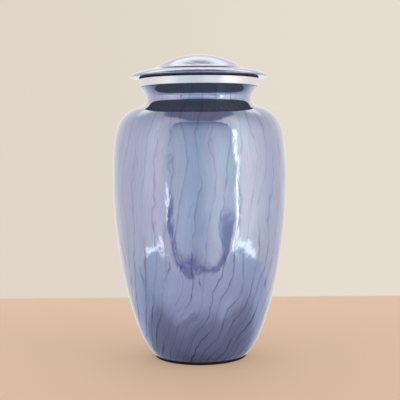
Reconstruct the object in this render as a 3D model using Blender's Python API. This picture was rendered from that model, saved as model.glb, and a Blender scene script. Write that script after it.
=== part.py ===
"""A cremation urn: a turned and lacquered aluminium vase with a bright mouth ring, a lift-off lid and a felt foot.

Every piece is turned about the vertical axis. Metres, +Z up, the origin at the middle of the felt's underside.
Each outline below is a list of (radius, height) points, in the half plane of +X and +Z. Heights are measured from
the datum of the piece: the foot for the vase, the neck's top for the ring, and the ring's top for the lid.
"""

import math

import bmesh
import bpy
from mathutils import Vector
from mathutils.geometry import interpolate_bezier

# Overall
TOTAL_HEIGHT = 0.2667
SEGMENTS = 52
SEAM = 0.0003
SMOOTH_BELOW = math.radians(38)
MERGE_BELOW = 0.00001

# Felt under the foot
FELT_RADIUS = 0.0410
FELT_THICKNESS = 0.0020

# Vase
WALL = 0.0032
FLOOR = 0.0040
FOOT_RADIUS = 0.0425
FOOT_EDGE = 0.0012
FOOT_LEAN = math.radians(46)
BELLY_RADIUS = 0.0767
BELLY_HEIGHT = 0.1532
SHOULDER_RADIUS = 0.0610
SHOULDER_HEIGHT = 0.2154
SHOULDER_SLOPE = math.radians(34)
WAIST_RADIUS = 0.0460
WAIST_HEIGHT = 0.2255
NECK_TOP_RADIUS = 0.0515
NECK_HEIGHT = 0.2359
NECK_LEAN = math.radians(57)

# How far each curve of the vase leaves its end points along their tangents
FOOT_PULL = 0.0270
BELLY_PULL_DOWN = 0.0590
BELLY_PULL_UP = 0.0430
SHOULDER_PULL_OUT = 0.0140
SHOULDER_PULL_IN = 0.0046
WAIST_PULL_DOWN = 0.0055
WAIST_PULL_UP = 0.0040
NECK_PULL = 0.0030

# Steps of each stretch of the vase, outside and inside
OUTER_STEPS = {"low": 13, "high": 10, "neck": 5}
INNER_STEPS = {"low": 9, "high": 7, "neck": 3}

# Mouth ring: the bright band, and the sleeve that lines the throat
BAND_LOW_RADIUS = 0.0519
BAND_TOP_RADIUS = 0.0528
BAND_HEIGHT = 0.0070
BAND_BEVEL = 0.0004
BORE_RADIUS = 0.0388
SLEEVE_RADIUS = 0.0412
SLEEVE_DEPTH = 0.0075

# Lid
BRIM_RADIUS = 0.0609
BRIM_HEIGHT = 0.0015
BRIM_LIP = 0.0007
BRIM_UNDERCUT = math.radians(10)
BRIM_RISE = math.radians(39)
BRIM_PULL = 0.0062
VALLEY_RADIUS = 0.0427
VALLEY_HEIGHT = 0.0079
VALLEY_SLOPE = math.radians(16)
VALLEY_PULL_OUT = 0.0058
VALLEY_PULL_IN = 0.0068
CROWN_PULL = 0.0245
COLLAR_RADIUS = 0.0384
COLLAR_WALL = 0.0030
COLLAR_DEPTH = 0.0120
LID_WALL = 0.0034
DOME_STEPS = 9
BRIM_STEPS = 5
LIP_STEPS = 3

# Where the pieces stand, worked out from the sizes above
FOOT_Z = FELT_THICKNESS + SEAM
RING_Z = FOOT_Z + NECK_HEIGHT + SEAM
LID_Z = RING_Z + BAND_HEIGHT + SEAM
CROWN_HEIGHT = TOTAL_HEIGHT - LID_Z


def point(radius, height):
    return Vector((radius, 0.0, height))


def heading(angle, length):
    """A step of the given length, turned up from +X by angle."""
    return Vector((length * math.cos(angle), 0.0, length * math.sin(angle)))


def curve(start, leave, arrive, end, steps):
    """The points of one Bezier stretch after its start, with the handles given as steps from its ends."""
    return list(interpolate_bezier(start, start + leave, end + arrive, end, steps + 1))[1:]


def arc(centre, radius, first, last, steps):
    """The points of a circular stretch, both ends among them."""
    angles = [first + (last - first) * i / steps for i in range(steps + 1)]
    return [centre + heading(angle, radius) for angle in angles]


def inside(points, wall):
    """The points moved by the wall's thickness to the left of the way that they run."""
    moved = []
    for i, here in enumerate(points):
        way = (points[min(i + 1, len(points) - 1)] - points[max(i - 1, 0)]).normalized()
        moved.append(here + Vector((-way.z, 0.0, way.x)) * wall)
    return moved


def vase_side(low, high, neck):
    """The outer side of the vase, from just over the foot's rounded edge to the neck's top.

    low, high and neck are the numbers of steps below the belly, above it, and on each side of the waist.
    """
    edge = FOOT_EDGE * math.sin(FOOT_LEAN)
    foot = point(FOOT_RADIUS, FOOT_EDGE - edge * math.cos(FOOT_LEAN))
    belly = point(BELLY_RADIUS, BELLY_HEIGHT)
    shoulder = point(SHOULDER_RADIUS, SHOULDER_HEIGHT)
    waist = point(WAIST_RADIUS, WAIST_HEIGHT)
    top = point(NECK_TOP_RADIUS, NECK_HEIGHT)
    inward = math.pi - SHOULDER_SLOPE
    side = [foot]
    side += curve(foot, heading(FOOT_LEAN, FOOT_PULL), point(0, -BELLY_PULL_DOWN), belly, low)
    side += curve(belly, point(0, BELLY_PULL_UP), heading(inward, -SHOULDER_PULL_OUT), shoulder, high)
    side += curve(shoulder, heading(inward, SHOULDER_PULL_IN), point(0, -WAIST_PULL_DOWN), waist, neck)
    side += curve(waist, point(0, WAIST_PULL_UP), heading(NECK_LEAN, -NECK_PULL), top, neck)
    return side


def vase_outline():
    foot_flat = point(FOOT_RADIUS - FOOT_EDGE, 0.0)
    outer = vase_side(**OUTER_STEPS)
    hollow = [p for p in inside(vase_side(**INNER_STEPS), WALL) if p.z > FLOOR + WALL]
    floor_edge = point(FOOT_RADIUS - WALL / 2, FLOOR)
    rim = point(hollow[-1].x, NECK_HEIGHT)
    return [point(0, 0), foot_flat] + outer + [rim] + hollow[-2::-1] + [floor_edge, point(0, FLOOR)]


def ring_outline():
    band_face = [
        point(BAND_LOW_RADIUS - BAND_BEVEL, 0),
        point(BAND_LOW_RADIUS, BAND_BEVEL),
        point(BAND_TOP_RADIUS, BAND_HEIGHT - BAND_BEVEL),
        point(BAND_TOP_RADIUS - BAND_BEVEL, BAND_HEIGHT),
    ]
    bore = [
        point(BORE_RADIUS + BAND_BEVEL, BAND_HEIGHT),
        point(BORE_RADIUS, BAND_HEIGHT - BAND_BEVEL),
        point(BORE_RADIUS, -SLEEVE_DEPTH),
    ]
    sleeve = [point(SLEEVE_RADIUS, -SLEEVE_DEPTH), point(SLEEVE_RADIUS, 0)]
    return band_face + bore + sleeve


def lid_outline():
    crown = point(0, CROWN_HEIGHT)
    valley = point(VALLEY_RADIUS, VALLEY_HEIGHT)
    lip = point(BRIM_RADIUS - BRIM_LIP, BRIM_HEIGHT)
    outward = -VALLEY_SLOPE
    brim_end = heading(math.pi - BRIM_RISE, BRIM_PULL)
    dome = curve(crown, point(CROWN_PULL, 0), heading(outward, -VALLEY_PULL_IN), valley, DOME_STEPS)
    tip = arc(lip, BRIM_LIP, math.pi / 2 - BRIM_RISE, BRIM_UNDERCUT - math.pi / 2, LIP_STEPS)
    brim = curve(valley, heading(outward, VALLEY_PULL_OUT), brim_end, tip[0], BRIM_STEPS)
    collar_inner = COLLAR_RADIUS - COLLAR_WALL
    under = [
        point(BAND_TOP_RADIUS, 0),
        point(COLLAR_RADIUS, 0),
        point(COLLAR_RADIUS, -COLLAR_DEPTH),
        point(collar_inner, -COLLAR_DEPTH),
    ]
    ceiling = [p for p in inside([crown] + dome, -LID_WALL) if p.x < collar_inner - LID_WALL]
    shoulder = point(collar_inner, ceiling[-1].z - LID_WALL)
    ceiling[0].x = 0.0
    return [crown] + dome + brim + tip[1:] + under + [shoulder] + ceiling[::-1]


def felt_outline():
    return [
        point(0, 0),
        point(FELT_RADIUS, 0),
        point(FELT_RADIUS, FELT_THICKNESS),
        point(0, FELT_THICKNESS),
    ]


def finish(name, colour, roughness, metallic):
    material = bpy.data.materials.new(name)
    material.use_nodes = True
    shader = material.node_tree.nodes["Principled BSDF"]
    shader.inputs["Base Color"].default_value = (*colour, 1.0)
    shader.inputs["Roughness"].default_value = roughness
    shader.inputs["Metallic"].default_value = metallic
    return material


def turned(name, outline, height, material, parent, closed=False):
    """A solid turned from its outline, which ends on the axis unless it is closed."""
    shape = bmesh.new()
    verts = [shape.verts.new(p) for p in outline]
    ends = zip(verts, verts[1:] + verts[:1]) if closed else zip(verts, verts[1:])
    edges = [shape.edges.new(pair) for pair in ends]
    bmesh.ops.spin(
        shape, geom=verts + edges, cent=(0, 0, 0), axis=(0, 0, 1),
        angle=2 * math.pi, steps=SEGMENTS, use_merge=True,
    )
    bmesh.ops.remove_doubles(shape, verts=shape.verts, dist=MERGE_BELOW)
    bmesh.ops.recalc_face_normals(shape, faces=shape.faces)
    mesh = bpy.data.meshes.new(name)
    shape.to_mesh(mesh)
    shape.free()
    mesh.materials.append(material)
    mesh.shade_smooth()
    mesh.set_sharp_from_angle(angle=SMOOTH_BELOW)
    piece = bpy.data.objects.new(name, mesh)
    piece.location.z = height
    piece.parent = parent
    bpy.context.scene.collection.objects.link(piece)
    return piece


def main():
    for old in list(bpy.data.objects):
        bpy.data.objects.remove(old)
    lacquer = finish("periwinkle_lacquer", (0.37, 0.40, 0.62), 0.15, 0.8)
    bright_metal = finish("turned_aluminium", (0.91, 0.91, 0.92), 0.22, 1.0)
    felt = finish("black_felt", (0.012, 0.012, 0.013), 0.95, 0.0)
    urn = bpy.data.objects.new("urn", None)
    bpy.context.scene.collection.objects.link(urn)
    turned("base_pad", felt_outline(), 0.0, felt, urn)
    turned("urn_body", vase_outline(), FOOT_Z, lacquer, urn)
    turned("mouth_ring", ring_outline(), RING_Z, bright_metal, urn, closed=True)
    turned("lid", lid_outline(), LID_Z, lacquer, urn)


main()
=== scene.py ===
"""The looks of a cremation urn: marbled lacquer over turned aluminium, a bright band and a felt foot.

Metres, +Z up, the urn's axis on the Z axis and the photographed side towards -Y. Each piece is turned again from
the outline that its solid was turned from, with finer steps, and takes a relief too fine for the solid.
"""

import math

import bmesh
import bpy
import numpy as np
from mathutils import Matrix, Vector
from mathutils.geometry import interpolate_bezier


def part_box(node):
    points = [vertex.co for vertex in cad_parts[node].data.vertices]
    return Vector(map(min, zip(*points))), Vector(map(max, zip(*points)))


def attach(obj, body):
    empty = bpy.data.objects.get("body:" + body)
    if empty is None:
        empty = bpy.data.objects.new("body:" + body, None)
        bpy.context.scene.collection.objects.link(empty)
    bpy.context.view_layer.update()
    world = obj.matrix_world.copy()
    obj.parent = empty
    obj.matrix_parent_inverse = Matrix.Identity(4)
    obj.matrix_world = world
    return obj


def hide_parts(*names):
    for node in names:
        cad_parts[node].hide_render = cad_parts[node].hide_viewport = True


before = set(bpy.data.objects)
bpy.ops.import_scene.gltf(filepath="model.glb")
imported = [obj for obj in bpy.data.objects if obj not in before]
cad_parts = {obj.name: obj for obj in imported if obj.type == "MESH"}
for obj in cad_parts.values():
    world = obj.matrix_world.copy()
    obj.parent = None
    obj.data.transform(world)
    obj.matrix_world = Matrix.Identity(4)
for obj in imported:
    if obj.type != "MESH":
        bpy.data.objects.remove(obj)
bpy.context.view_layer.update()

# Heights that the frame gives
FELT_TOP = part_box("base_pad")[1].z
FOOT_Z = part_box("urn_body")[0].z
NECK_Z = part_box("urn_body")[1].z
BAND_TOP_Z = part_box("mouth_ring")[1].z
SLEEVE_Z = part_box("mouth_ring")[0].z
COLLAR_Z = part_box("lid")[0].z
CROWN_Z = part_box("lid")[1].z

# Radii that the frame gives
FELT_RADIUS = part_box("base_pad")[1].x
BELLY_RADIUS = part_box("urn_body")[1].x
BAND_TOP_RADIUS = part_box("mouth_ring")[1].x
BRIM_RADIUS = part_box("lid")[1].x

SEAM = FOOT_Z - FELT_TOP
RING_Z = NECK_Z + SEAM
LID_Z = BAND_TOP_Z + SEAM

# Vase, with heights over its foot
WALL = 0.0032
FLOOR = 0.0040
FOOT_RADIUS = 0.0425
FOOT_EDGE = 0.0012
FOOT_LEAN = math.radians(46)
BELLY_HEIGHT = 0.1532
SHOULDER_RADIUS = 0.0610
SHOULDER_HEIGHT = 0.2154
SHOULDER_SLOPE = math.radians(34)
WAIST_RADIUS = 0.0460
WAIST_HEIGHT = 0.2255
NECK_TOP_RADIUS = 0.0515
NECK_LEAN = math.radians(57)
FOOT_PULL = 0.0270
BELLY_PULL_DOWN = 0.0590
BELLY_PULL_UP = 0.0430
SHOULDER_PULL_OUT = 0.0140
SHOULDER_PULL_IN = 0.0046
WAIST_PULL_DOWN = 0.0055
WAIST_PULL_UP = 0.0040
NECK_PULL = 0.0030

# Mouth ring, with heights over the neck
BAND_LOW_RADIUS = 0.0519
BAND_BEVEL = 0.0004
BORE_RADIUS = 0.0388
SLEEVE_RADIUS = 0.0412

# Lid, with heights over the ring
BRIM_HEIGHT = 0.0015
BRIM_LIP = 0.0007
BRIM_UNDERCUT = math.radians(10)
BRIM_RISE = math.radians(39)
BRIM_PULL = 0.0062
VALLEY_RADIUS = 0.0427
VALLEY_HEIGHT = 0.0079
VALLEY_SLOPE = math.radians(16)
VALLEY_PULL_OUT = 0.0058
VALLEY_PULL_IN = 0.0068
CROWN_PULL = 0.0245
COLLAR_RADIUS = 0.0384
COLLAR_WALL = 0.0030
LID_WALL = 0.0034

# Steps of each stretch of the outlines
OUTER_STEPS = {"low": 84, "high": 44, "neck": 12}
INNER_STEPS = {"low": 16, "high": 12, "neck": 6}
BAND_STEPS = 12
DOME_STEPS = 50
LIP_STEPS = 8
BRIM_STEPS = 26
SEAT_STEPS = 6
CEILING_EVERY = 4
FELT_EDGE_STEPS = 4

# Turning and smoothing
WEDGES = 16
WEDGE_STEPS = 24
MERGE_BELOW = 0.000005
SMOOTH_BELOW = math.radians(38)

# Marbling: veins run down the vase in this many strips, and leave the upright towards the foot
STRIPS = 40
STRIP_WIDTH = 2 * math.pi * BELLY_RADIUS / STRIPS
TWIST_START = 0.095
TWIST_STRIPS = 4.1
SAG_HEIGHT = 0.146
SAG_LENGTH = 0.018
SAG_STRIPS = 0.5
WOBBLE_STRIPS = 0.30
FLICKER_STRIPS = 0.06
CALM_HEIGHT = 0.105
LID_SPIRAL_STRIPS = 16.0
RIPPLE_DEPTH = 0.00016

# Lacquer
PERIWINKLE = (0.480, 0.505, 0.700, 1)
SKY = (0.445, 0.525, 0.700, 1)
VEIN_DARK = (0.10, 0.105, 0.20, 1)

# Studio, in degrees: the azimuth round from the camera's side, and the height over the horizon
OPENING_AZIMUTH = 1.0
OPENING_HEIGHT = 12.0
OPENING_HALF_WIDTH = 44.5
OPENING_HALF_HEIGHT = 40.0
OPENING_SQUARENESS = 5.0
RIGHT_SLIT_AZIMUTH = 50.0
LEFT_SLIT_AZIMUTH = -43.0
TABLE_HEIGHT = -20.0
BACK_GLOW = (1.40, 1.36, 1.26, 1)
OVERHEAD_DARK = (0.17, 0.18, 0.25, 1)
FRAME_DARK = (0.20, 0.22, 0.42, 1)
SLIT_LIGHT = (2.3, 2.3, 2.3, 1)
LATER_BOUNCE_LOSS = 0.96

# Camera, as fitted to the photograph
CAMERA_PLACE = Vector((0.0002, -0.7845, 0.1927))
CAMERA_PITCH = math.radians(-3.94)
CAMERA_ROLL = math.radians(-0.43)
FOCAL_PIXELS = 884.6
PHOTO_PIXELS = 400


def point(radius, height):
    return Vector((radius, 0.0, height))


def heading(angle, length):
    """A step of the given length, turned up from +X by angle."""
    return Vector((length * math.cos(angle), 0.0, length * math.sin(angle)))


def curve(start, leave, arrive, end, steps):
    """The points of one Bezier stretch after its start, with the handles given as steps from its ends."""
    return list(interpolate_bezier(start, start + leave, end + arrive, end, steps + 1))[1:]


def straight(start, end, steps):
    """The points of a straight stretch after its start."""
    return [start.lerp(end, i / steps) for i in range(1, steps + 1)]


def arc(centre, radius, first, last, steps):
    """The points of a circular stretch, both ends among them."""
    angles = [first + (last - first) * i / steps for i in range(steps + 1)]
    return [centre + heading(angle, radius) for angle in angles]


def inside(points, wall):
    """The points moved by the wall's thickness to the left of the way that they run."""
    moved = []
    for i, here in enumerate(points):
        way = (points[min(i + 1, len(points) - 1)] - points[max(i - 1, 0)]).normalized()
        moved.append(here + Vector((-way.z, 0.0, way.x)) * wall)
    return moved


def vase_side(low, high, neck):
    """The outer side of the vase, from just over the foot's rounded edge to the neck's top."""
    edge = FOOT_EDGE * math.sin(FOOT_LEAN)
    foot = point(FOOT_RADIUS, FOOT_EDGE - edge * math.cos(FOOT_LEAN))
    belly = point(BELLY_RADIUS, BELLY_HEIGHT)
    shoulder = point(SHOULDER_RADIUS, SHOULDER_HEIGHT)
    waist = point(WAIST_RADIUS, WAIST_HEIGHT)
    top = point(NECK_TOP_RADIUS, NECK_Z - FOOT_Z)
    inward = math.pi - SHOULDER_SLOPE
    side = [foot]
    side += curve(foot, heading(FOOT_LEAN, FOOT_PULL), point(0, -BELLY_PULL_DOWN), belly, low)
    side += curve(belly, point(0, BELLY_PULL_UP), heading(inward, -SHOULDER_PULL_OUT), shoulder, high)
    side += curve(shoulder, heading(inward, SHOULDER_PULL_IN), point(0, -WAIST_PULL_DOWN), waist, neck)
    side += curve(waist, point(0, WAIST_PULL_UP), heading(NECK_LEAN, -NECK_PULL), top, neck)
    return side


def vase_outline():
    foot_flat = point(FOOT_RADIUS - FOOT_EDGE, 0.0)
    outer = vase_side(**OUTER_STEPS)
    hollow = [p for p in inside(vase_side(**INNER_STEPS), WALL) if p.z > FLOOR + WALL]
    floor_edge = point(FOOT_RADIUS - WALL / 2, FLOOR)
    rim = point(hollow[-1].x, NECK_Z - FOOT_Z)
    return [point(0, 0), foot_flat] + outer + [rim] + hollow[-2::-1] + [floor_edge, point(0, FLOOR)]


def ring_outline():
    height = BAND_TOP_Z - RING_Z
    depth = RING_Z - SLEEVE_Z
    low = point(BAND_LOW_RADIUS - BAND_BEVEL, 0)
    face_low = point(BAND_LOW_RADIUS, BAND_BEVEL)
    face_top = point(BAND_TOP_RADIUS, height - BAND_BEVEL)
    top = point(BAND_TOP_RADIUS - BAND_BEVEL, height)
    bore = [
        point(BORE_RADIUS + BAND_BEVEL, height),
        point(BORE_RADIUS, height - BAND_BEVEL),
        point(BORE_RADIUS, -depth),
    ]
    sleeve = [point(SLEEVE_RADIUS, -depth), point(SLEEVE_RADIUS, 0)]
    return [low, face_low] + straight(face_low, face_top, BAND_STEPS) + [top] + bore + sleeve


def lid_outline():
    crown = point(0, CROWN_Z - LID_Z)
    valley = point(VALLEY_RADIUS, VALLEY_HEIGHT)
    lip = point(BRIM_RADIUS - BRIM_LIP, BRIM_HEIGHT)
    outward = -VALLEY_SLOPE
    brim_end = heading(math.pi - BRIM_RISE, BRIM_PULL)
    dome = curve(crown, point(CROWN_PULL, 0), heading(outward, -VALLEY_PULL_IN), valley, DOME_STEPS)
    tip = arc(lip, BRIM_LIP, math.pi / 2 - BRIM_RISE, BRIM_UNDERCUT - math.pi / 2, LIP_STEPS)
    brim = curve(valley, heading(outward, VALLEY_PULL_OUT), brim_end, tip[0], BRIM_STEPS)
    collar_inner = COLLAR_RADIUS - COLLAR_WALL
    depth = LID_Z - COLLAR_Z
    seat = point(BAND_TOP_RADIUS, 0)
    under = straight(tip[-1], seat, SEAT_STEPS) + [
        point(COLLAR_RADIUS, 0),
        point(COLLAR_RADIUS, -depth),
        point(collar_inner, -depth),
    ]
    ceiling = inside([crown] + dome, -LID_WALL)[::CEILING_EVERY]
    ceiling = [p for p in ceiling if p.x < collar_inner - LID_WALL]
    shoulder = point(collar_inner, ceiling[-1].z - LID_WALL)
    ceiling[0].x = 0.0
    return [crown] + dome + brim + tip[1:] + under + [shoulder] + ceiling[::-1]


def felt_outline():
    rounding = FELT_TOP / 4
    low = arc(point(FELT_RADIUS - rounding, rounding), rounding, -math.pi / 2, 0, FELT_EDGE_STEPS)
    high = arc(point(FELT_RADIUS - rounding, FELT_TOP - rounding), rounding, 0, math.pi / 2, FELT_EDGE_STEPS)
    return [point(0, 0)] + low + high + [point(0, FELT_TOP)]


def wave_sum(seed, turns, heights, count):
    """A smooth seeded function of angle and height, of size 1 or so, that meets itself after a full turn."""
    draw = np.random.default_rng(seed)
    waves = []
    for _ in range(count):
        round_rate = draw.integers(*turns)
        height_rate = 2 * math.pi / draw.uniform(*heights) * draw.choice([-1, 1])
        waves.append((round_rate, height_rate, draw.uniform(0, 2 * math.pi)))

    def value(angle, height):
        total = sum(np.sin(m * angle + k * height + start) for m, k, start in waves)
        return total / math.sqrt(count / 2) / 2

    return value


wobble = wave_sum(seed=4, turns=(3, 15), heights=(0.045, 0.110), count=14)
flicker = wave_sum(seed=9, turns=(20, 60), heights=(0.010, 0.024), count=10)
ripple = wave_sum(seed=21, turns=(9, 24), heights=(0.030, 0.060), count=16)


def vase_phase(angle, height):
    """How many strips round the vase a place is, counted along the veins."""
    low = np.clip((TWIST_START - height) / TWIST_START, 0, 1)
    sag = 0.5 - 0.5 * np.tanh((height - SAG_HEIGHT) / SAG_LENGTH)
    wave = WOBBLE_STRIPS * wobble(angle, height) + FLICKER_STRIPS * flicker(angle, height)
    return STRIPS * angle / (2 * math.pi) + TWIST_STRIPS * low**2 + SAG_STRIPS * sag + wave


def lid_phase(angle, radius):
    """The same for the lid, where the veins run out from the crown in a spiral."""
    spiral = LID_SPIRAL_STRIPS * (1 - radius / BRIM_RADIUS)
    return STRIPS * angle / (2 * math.pi) + spiral + WOBBLE_STRIPS * wobble(angle, radius)


def comb(mesh, phase_of, along_of):
    """Writes the marbling's UV map: across the veins in strips, and along them in strip widths."""
    count = len(mesh.loops)
    corner = np.zeros(count, int)
    mesh.loops.foreach_get("vertex_index", corner)
    place = np.zeros(len(mesh.vertices) * 3)
    mesh.vertices.foreach_get("co", place)
    place = place.reshape(-1, 3)[corner]
    middle = np.zeros(len(mesh.polygons) * 3)
    mesh.polygons.foreach_get("center", middle)
    sides = np.zeros(len(mesh.polygons), int)
    mesh.polygons.foreach_get("loop_total", sides)
    middle = np.repeat(middle.reshape(-1, 3), sides, axis=0)
    face_angle = np.arctan2(middle[:, 0], -middle[:, 1])
    angle = np.arctan2(place[:, 0], -place[:, 1])
    angle = face_angle + (angle - face_angle + math.pi) % (2 * math.pi) - math.pi
    radius = np.hypot(place[:, 0], place[:, 1])
    angle = np.where(radius < SEAM, face_angle, angle)
    along = along_of(radius, place[:, 2])
    uv = np.stack([phase_of(angle, along), along / STRIP_WIDTH], axis=1)
    mesh.uv_layers.new(name="Marbling").data.foreach_set("uv", uv.astype(np.float32).ravel())


def ripple_skin(mesh, outer):
    """Presses soft dents into the lacquered side, which is where outer(radius, height) is true."""
    place = np.zeros(len(mesh.vertices) * 3)
    mesh.vertices.foreach_get("co", place)
    place = place.reshape(-1, 3)
    normal = np.zeros(len(mesh.vertices) * 3)
    mesh.vertices.foreach_get("normal", normal)
    normal = normal.reshape(-1, 3)
    radius = np.hypot(place[:, 0], place[:, 1])
    angle = np.arctan2(place[:, 0], -place[:, 1])
    combed = 2 * math.pi * vase_phase(angle, place[:, 2]) / STRIPS
    depth = RIPPLE_DEPTH * (1 + ripple(combed, place[:, 2])) / 2 * outer(radius, place[:, 2])
    place -= normal * depth[:, None]
    mesh.vertices.foreach_set("co", place.astype(np.float32).ravel())
    mesh.update()


def turned(name, outline, height, material, closed=False):
    """A piece turned from its outline, which ends on the axis unless it is closed."""
    shape = bmesh.new()
    verts = [shape.verts.new(p + Vector((0, 0, height))) for p in outline]
    ends = zip(verts, verts[1:] + verts[:1]) if closed else zip(verts, verts[1:])
    edges = [shape.edges.new(pair) for pair in ends]
    wedge = 2 * math.pi / WEDGES
    bmesh.ops.spin(
        shape, geom=verts + edges, cent=(0, 0, 0), axis=(0, 0, 1), angle=wedge, steps=WEDGE_STEPS,
    )
    bmesh.ops.spin(
        shape, geom=shape.verts[:] + shape.edges[:] + shape.faces[:], cent=(0, 0, 0), axis=(0, 0, 1),
        angle=2 * math.pi - wedge, steps=WEDGES - 1, use_duplicate=True,
    )
    bmesh.ops.remove_doubles(shape, verts=shape.verts, dist=MERGE_BELOW)
    bmesh.ops.recalc_face_normals(shape, faces=shape.faces)
    mesh = bpy.data.meshes.new(name)
    shape.to_mesh(mesh)
    shape.free()
    mesh.materials.append(material)
    mesh.shade_smooth()
    mesh.set_sharp_from_angle(angle=SMOOTH_BELOW)
    piece = bpy.data.objects.new(name, mesh)
    bpy.context.scene.collection.objects.link(piece)
    return piece


class Wire:
    """An output socket. Arithmetic on wires adds Math nodes, and add makes any other node."""

    def __init__(self, tree, socket=None):
        self.tree = tree
        self.socket = socket

    def add(self, kind, settings, inputs, output=0):
        node = self.tree.nodes.new("ShaderNode" + kind)
        for name, value in settings.items():
            if name == "stops":
                fill_ramp(node.color_ramp, value)
            else:
                setattr(node, name, value)
        for name, value in inputs.items():
            if isinstance(value, Wire):
                self.tree.links.new(value.socket, node.inputs[name])
            else:
                node.inputs[name].default_value = value
        return Wire(self.tree, node.outputs[output]) if node.outputs else None

    def math(self, operation, *values):
        return self.add("Math", {"operation": operation}, dict(enumerate(values)))

    def __add__(self, other):
        return self.math("ADD", self, other)

    def __radd__(self, other):
        return self.math("ADD", other, self)

    def __sub__(self, other):
        return self.math("SUBTRACT", self, other)

    def __rsub__(self, other):
        return self.math("SUBTRACT", other, self)

    def __mul__(self, other):
        return self.math("MULTIPLY", self, other)

    def __rmul__(self, other):
        return self.math("MULTIPLY", other, self)

    def __truediv__(self, other):
        return self.math("DIVIDE", self, other)

    def __pow__(self, other):
        return self.math("POWER", self, other)

    def __abs__(self):
        return self.math("ABSOLUTE", self)

    def __neg__(self):
        return self.math("MULTIPLY", self, -1.0)

    def smooth(self, low, high):
        """0 at low and 1 at high, with soft ends. low may be the larger."""
        settings = {"interpolation_type": "SMOOTHSTEP"}
        if low < high:
            return self.add("MapRange", settings, {"Value": self, "From Min": low, "From Max": high})
        falling = {"Value": self, "From Min": high, "From Max": low, "To Min": 1.0, "To Max": 0.0}
        return self.add("MapRange", settings, falling)

    def ramp(self, low, high, stops):
        """A colour for each value from low to high, read from stops given in the same unit."""
        share = self.add("MapRange", {}, {"Value": self, "From Min": low, "From Max": high})
        shares = [((value - low) / (high - low), colour) for value, colour in stops]
        return self.add("ValToRGB", {"stops": shares}, {"Fac": share})

    def tint(self, first, second):
        """The colour first where this wire is 0, and second where it is 1."""
        settings = {"data_type": "RGBA"}
        return self.add("Mix", settings, {0: self, 6: first, 7: second}, output=2)

    def times(self, other):
        """This colour multiplied by another."""
        return self.add("VectorMath", {"operation": "MULTIPLY"}, {0: self, 1: other})

    def shade(self, colour):
        """The colour multiplied by this wire."""
        return self.add("VectorMath", {"operation": "SCALE"}, {0: colour, "Scale": self})


def fill_ramp(ramp, stops):
    while len(ramp.elements) < len(stops):
        ramp.elements.new(0.5)
    for element, (position, colour) in zip(ramp.elements, stops):
        element.position = position
        element.color = (*colour, 1.0)


def new_finish(name):
    """A material with a bare Principled shader, as the material, the shader and a wire to build on."""
    material = bpy.data.materials.new(name)
    material.use_nodes = True
    shader = material.node_tree.nodes["Principled BSDF"]
    return material, shader, Wire(material.node_tree)


def set_plain(shader, **values):
    for name, value in values.items():
        shader.inputs[name.replace("_", " ")].default_value = value


def plug(shader, name, wire):
    wire.tree.links.new(wire.socket, shader.inputs[name])


def lacquer(name, vein_strength, streak_strength, calm_above):
    """Translucent lacquer over bright metal, with fine dark veins that follow the marbling's UV map.

    The veins are faint where the UV map's length along them is over calm_above.
    """
    material, shader, start = new_finish(name)
    set_plain(shader, Metallic=0.86, Roughness=0.075, Coat_Weight=1.0, Coat_Roughness=0.025, Coat_IOR=1.5)
    uv = start.add("UVMap", {"uv_map": "Marbling"}, {})
    across = start.add("SeparateXYZ", {}, {0: uv}, output=0)
    along = start.add("SeparateXYZ", {}, {0: uv}, output=1)

    # The strips laid round a circle, so that every noise below meets itself after a full turn
    turn = across * (2 * math.pi / STRIPS)
    reach = STRIPS / (2 * math.pi)
    east = turn.math("COSINE", turn) * reach
    north = turn.math("SINE", turn) * reach

    def brushed(across_scale, along_scale, detail, rough=0.5):
        parts = {0: east * across_scale, 1: north * across_scale, 2: along * along_scale}
        spot = start.add("CombineXYZ", {}, parts)
        return start.add("TexNoise", {}, {"Vector": spot, "Scale": 1.0, "Detail": detail, "Roughness": rough})

    # Main veins at whole strips, sharp on one side and shaded on the other
    shift = (brushed(1.1, 1.1, 3.0, 0.6) - 0.5) * 0.38
    bent = across + shift
    part = bent.math("FRACT", bent)
    before = 1 - part
    calm = along.smooth(calm_above + 1.2, calm_above - 1.2)
    weight = brushed(0.9, 0.30, 1.0).smooth(0.40, 0.60)
    core = part.math("MAXIMUM", part.smooth(0.10, 0.0), before.smooth(0.045, 0.0))
    shadow = part.math("MAXIMUM", part.smooth(0.45, 0.0) ** 2, before.smooth(0.12, 0.0) ** 2)
    force = (0.30 + 0.70 * weight) * (0.45 + 0.55 * calm)
    vein = (core * 0.55 + shadow * 0.24) * force

    # Short side veins that leave and join the main ones
    lean = (brushed(0.7, 0.35, 2.0) - 0.5) * 1.8
    side = across + 0.47 + lean
    side_part = abs(side.math("FRACT", side) - 0.5)
    side_there = brushed(1.1, 0.45, 1.0).smooth(0.52, 0.64)
    side_vein = (side_part.smooth(0.07, 0.0) * 0.5 + side_part.smooth(0.22, 0.0) ** 2 * 0.2) * side_there
    side_vein = side_vein * (0.35 + 0.65 * calm)

    streaks = brushed(6.0, 0.30, 5.0, 0.65)
    broad = brushed(0.9, 0.14, 2.0)
    hue = (broad + 0.35 * (streaks - 0.5)).smooth(0.38, 0.62)
    ground = hue.tint(PERIWINKLE, SKY)
    light = 1.0 + streak_strength * (streaks - 0.5) + 0.20 * (broad - 0.5)
    dark = (vein + side_vein) * vein_strength
    colour = dark.tint(light.shade(ground), VEIN_DARK)
    plug(shader, "Base Color", colour)

    swell = brushed(1.6, 0.9, 2.0)
    relief = swell + 0.10 * streaks - 0.05 * core
    bump = start.add("Bump", {}, {"Strength": 1.0, "Distance": 0.00015, "Height": relief})
    plug(shader, "Normal", bump)
    return material


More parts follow.
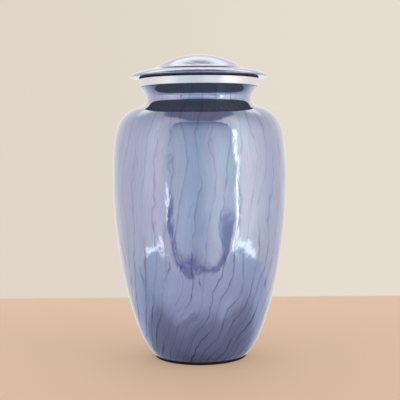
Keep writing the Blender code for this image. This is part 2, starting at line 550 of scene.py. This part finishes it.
def bright_metal():
    """Turned aluminium, with the fine rings that the tool left."""
    material, shader, start = new_finish("turned_aluminium")
    set_plain(shader, Base_Color=(0.97, 0.965, 0.975, 1), Metallic=1.0)
    place = start.add("TexCoord", {}, {}, output="Object")
    x, y, z = (start.add("SeparateXYZ", {}, {0: place}, output=i) for i in range(3))
    radius = (x * x + y * y) ** 0.5
    tool = start.add("CombineXYZ", {}, {0: radius * 9000.0, 1: z * 9000.0, 2: 0.0})
    rings = start.add("TexNoise", {}, {"Vector": tool, "Scale": 1.0, "Detail": 2.0})
    plug(shader, "Roughness", 0.26 + 0.14 * rings)
    bump = start.add("Bump", {}, {"Strength": 1.0, "Distance": 0.000006, "Height": rings})
    plug(shader, "Normal", bump)
    return material


def black_felt():
    """Pressed black felt with a short nap."""
    material, shader, start = new_finish("black_felt")
    set_plain(shader, Metallic=0.0, Roughness=0.95)
    place = start.add("TexCoord", {}, {}, output="Object")
    nap = start.add("TexNoise", {}, {"Vector": place, "Scale": 1400.0, "Detail": 3.0})
    plug(shader, "Base Color", nap.tint((0.006, 0.006, 0.007, 1), (0.020, 0.019, 0.019, 1)))
    bump = start.add("Bump", {}, {"Strength": 1.0, "Distance": 0.0002, "Height": nap})
    plug(shader, "Normal", bump)
    return material


def make_studio():
    """A white light tent round the urn, open in front, and a plain warm wall for the camera."""
    world = bpy.data.worlds.new("studio")
    bpy.context.scene.world = world
    world.use_nodes = True
    tree = world.node_tree
    tree.nodes.clear()
    start = Wire(tree)
    way = start.add("TexCoord", {}, {}, output="Generated")
    x, y, z = (start.add("SeparateXYZ", {}, {0: way}, output=i) for i in range(3))
    to_degrees = 180 / math.pi
    azimuth = x.math("ARCTAN2", x, -y) * to_degrees
    height = z.math("ARCSINE", z) * to_degrees
    away = abs(azimuth)

    # The tent's sides: brightest on the right, and dark overhead
    around = azimuth.ramp(-180.0, 180.0, [
        (-180.0, (0.90, 0.88, 0.85)), (-125.0, (0.74, 0.72, 0.73)), (-85.0, (0.80, 0.76, 0.78)),
        (-60.0, (0.98, 0.93, 0.91)), (-42.0, (0.78, 0.78, 0.80)), (44.0, (0.95, 0.97, 0.95)),
        (58.0, (1.22, 1.17, 1.06)), (68.0, (1.18, 1.13, 1.02)), (80.0, (1.04, 0.99, 0.92)),
        (100.0, (0.80, 0.78, 0.78)), (125.0, (0.74, 0.72, 0.73)), (180.0, (0.90, 0.88, 0.85)),
    ])
    climb = height.ramp(-20.0, 70.0, [
        (-20.0, (0.92, 0.92, 0.93)), (-8.0, (1.0, 1.0, 1.0)), (14.0, (1.0, 1.0, 1.0)),
        (36.0, (0.86, 0.87, 0.89)), (52.0, (0.78, 0.78, 0.79)), (70.0, (0.62, 0.62, 0.64)),
    ])
    tent = around.times(climb)
    back_glow = away.smooth(120.0, 160.0) * height.smooth(31.0, 38.0) * height.smooth(52.0, 44.0)
    tent = back_glow.tint(tent, BACK_GLOW)
    cap = height + 10.0 * abs(azimuth - 7.0).smooth(60.0, 20.0) + 9.0 * away.smooth(120.0, 165.0)
    tent = cap.smooth(59.0, 66.0).tint(tent, OVERHEAD_DARK)

    # The opening in front, with its dark frame
    wide = abs(azimuth - OPENING_AZIMUTH) / OPENING_HALF_WIDTH
    tall = abs(height - OPENING_HEIGHT) / OPENING_HALF_HEIGHT
    outline = wide**OPENING_SQUARENESS + tall**OPENING_SQUARENESS
    opening = outline.smooth(1.06, 0.94)
    room = height.ramp(-30.0, 50.0, [
        (-30.0, (0.56, 0.60, 0.70)), (-12.0, (0.63, 0.70, 0.78)), (4.0, (0.62, 0.68, 0.76)),
        (18.0, (0.57, 0.64, 0.71)), (32.0, (0.43, 0.50, 0.59)), (42.0, (0.30, 0.34, 0.44)),
        (50.0, (0.16, 0.18, 0.28)),
    ])
    room = room.times(azimuth.ramp(-45.0, 45.0, [
        (-45.0, (1.10, 1.12, 1.05)), (-26.0, (1.12, 1.12, 1.05)), (-12.0, (0.95, 0.98, 0.98)),
        (-1.0, (0.88, 0.90, 0.92)), (10.0, (1.12, 1.12, 1.06)), (25.0, (1.45, 1.38, 1.22)),
        (36.0, (1.28, 1.26, 1.16)), (45.0, (1.15, 1.13, 1.04)),
    ]))
    frame_left = azimuth.smooth(-33.0, -39.0) * height.smooth(-3.0, -9.0)
    frame_right = azimuth.smooth(24.0, 34.0) * height.smooth(-9.0, -15.0)
    frame_low = outline.smooth(0.45, 0.85) * height.smooth(-16.0, -22.0)
    frame_top = outline.smooth(0.50, 0.86) * height.smooth(34.0, 44.0)
    rim = frame_low.math("MAXIMUM", frame_left, frame_low)
    rim = rim.math("MAXIMUM", rim, frame_right * 0.8)
    rim = rim.math("MAXIMUM", rim, frame_top)
    room = rim.tint(room, FRAME_DARK)

    # The table below, lit in front
    below = height - 12.0 * away.smooth(40.0, 85.0)
    table = below.ramp(-90.0, -28.0, [
        (-90.0, (0.08, 0.085, 0.12)), (-66.0, (0.16, 0.17, 0.25)), (-55.0, (0.19, 0.20, 0.28)),
        (-46.0, (0.25, 0.27, 0.36)), (-38.0, (0.50, 0.54, 0.66)), (-28.0, (0.60, 0.64, 0.73)),
    ])
    table_edge = height - TABLE_HEIGHT + 8.0 * away.smooth(56.0, 30.0)
    lower = table_edge.smooth(0.6, -0.6)

    # Bright slits: upright on the right, short on the left, and along the table's edge
    right_slit = abs(azimuth - RIGHT_SLIT_AZIMUTH).smooth(1.9, 1.1)
    right_slit = right_slit * height.smooth(31.0, 27.0) * height.smooth(-21.0, -19.0)
    left_slit = abs(azimuth - LEFT_SLIT_AZIMUTH).smooth(1.3, 0.6)
    left_slit = left_slit * height.smooth(-3.0, -5.0) * height.smooth(-15.0, -13.0)
    edge_slit = abs(table_edge - 1.0).smooth(1.1, 0.5)
    edge_slit = edge_slit * away.smooth(50.0, 54.0) * away.smooth(88.0, 80.0) * 0.7
    slits = right_slit.math("MAXIMUM", right_slit, edge_slit)
    slits = slits.math("MAXIMUM", slits, left_slit)

    light = opening.tint(tent, room)
    light = lower.tint(light, table)
    light = slits.tint(light, SLIT_LIGHT)

    # Light that has met the urn twice is dimmed, which makes the neck's dark strips
    bounces = start.add("LightPath", {}, {}, output="Ray Depth")
    strength = 1.0 - LATER_BOUNCE_LOSS * bounces.smooth(2.4, 2.6)
    reflected = start.add("Background", {}, {"Color": light, "Strength": strength})

    # What the camera sees behind the urn
    wall = x.smooth(-0.22, 0.22).tint((0.745, 0.665, 0.565, 1), (0.80, 0.725, 0.64, 1))
    seen = start.add("Background", {}, {"Color": wall, "Strength": 1.0})
    camera_ray = start.add("LightPath", {}, {}, output="Is Camera Ray")
    mixed = start.add("MixShader", {}, {0: camera_ray, 1: reflected, 2: seen})
    start.add("OutputWorld", {}, {"Surface": mixed})


def make_floor():
    """A plain pale floor that ends where the photograph's floor does."""
    far_edge = 0.286
    bpy.ops.mesh.primitive_plane_add(size=2 * far_edge)
    floor = bpy.context.object
    floor.name = "floor"
    material, shader, start = new_finish("pale_floor")
    glow = (0.30, 0.205, 0.135, 1)
    set_plain(shader, Base_Color=(0.74, 0.54, 0.38, 1), Roughness=0.8)
    set_plain(shader, Emission_Color=glow, Emission_Strength=1.0)
    floor.data.materials.append(material)
    floor.visible_glossy = False


def make_camera():
    lens = bpy.data.cameras.new("camera")
    lens.sensor_width = 36.0
    lens.lens = lens.sensor_width * FOCAL_PIXELS / PHOTO_PIXELS
    camera = bpy.data.objects.new("camera", lens)
    turn = Matrix.Rotation(math.pi / 2 + CAMERA_PITCH, 4, "X") @ Matrix.Rotation(CAMERA_ROLL, 4, "Z")
    camera.matrix_world = Matrix.Translation(CAMERA_PLACE) @ turn
    bpy.context.scene.collection.objects.link(camera)
    bpy.context.scene.camera = camera


def dress(piece, node):
    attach(piece, "root")
    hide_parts(node)


def make_urn():
    vase_lacquer = lacquer("marbled_lacquer", 1.0, 0.30, CALM_HEIGHT / STRIP_WIDTH)
    lid_lacquer = lacquer("marbled_lid_lacquer", 0.3, 0.65, 0.0)

    vase = turned("lacquered_vase", vase_outline(), FOOT_Z, vase_lacquer)
    comb(vase.data, vase_phase, lambda radius, height: height)
    ripple_skin(vase.data, lambda radius, height: radius > FOOT_RADIUS)
    dress(vase, "urn_body")

    lid = turned("lacquered_lid", lid_outline(), LID_Z, lid_lacquer)
    comb(lid.data, lid_phase, lambda radius, height: radius)
    dress(lid, "lid")

    band = turned("bright_band", ring_outline(), RING_Z, bright_metal(), closed=True)
    dress(band, "mouth_ring")

    felt = turned("felt_disc", felt_outline(), 0.0, black_felt())
    dress(felt, "base_pad")


make_urn()
make_studio()
make_floor()
make_camera()
bpy.context.scene.view_settings.view_transform = "Standard"
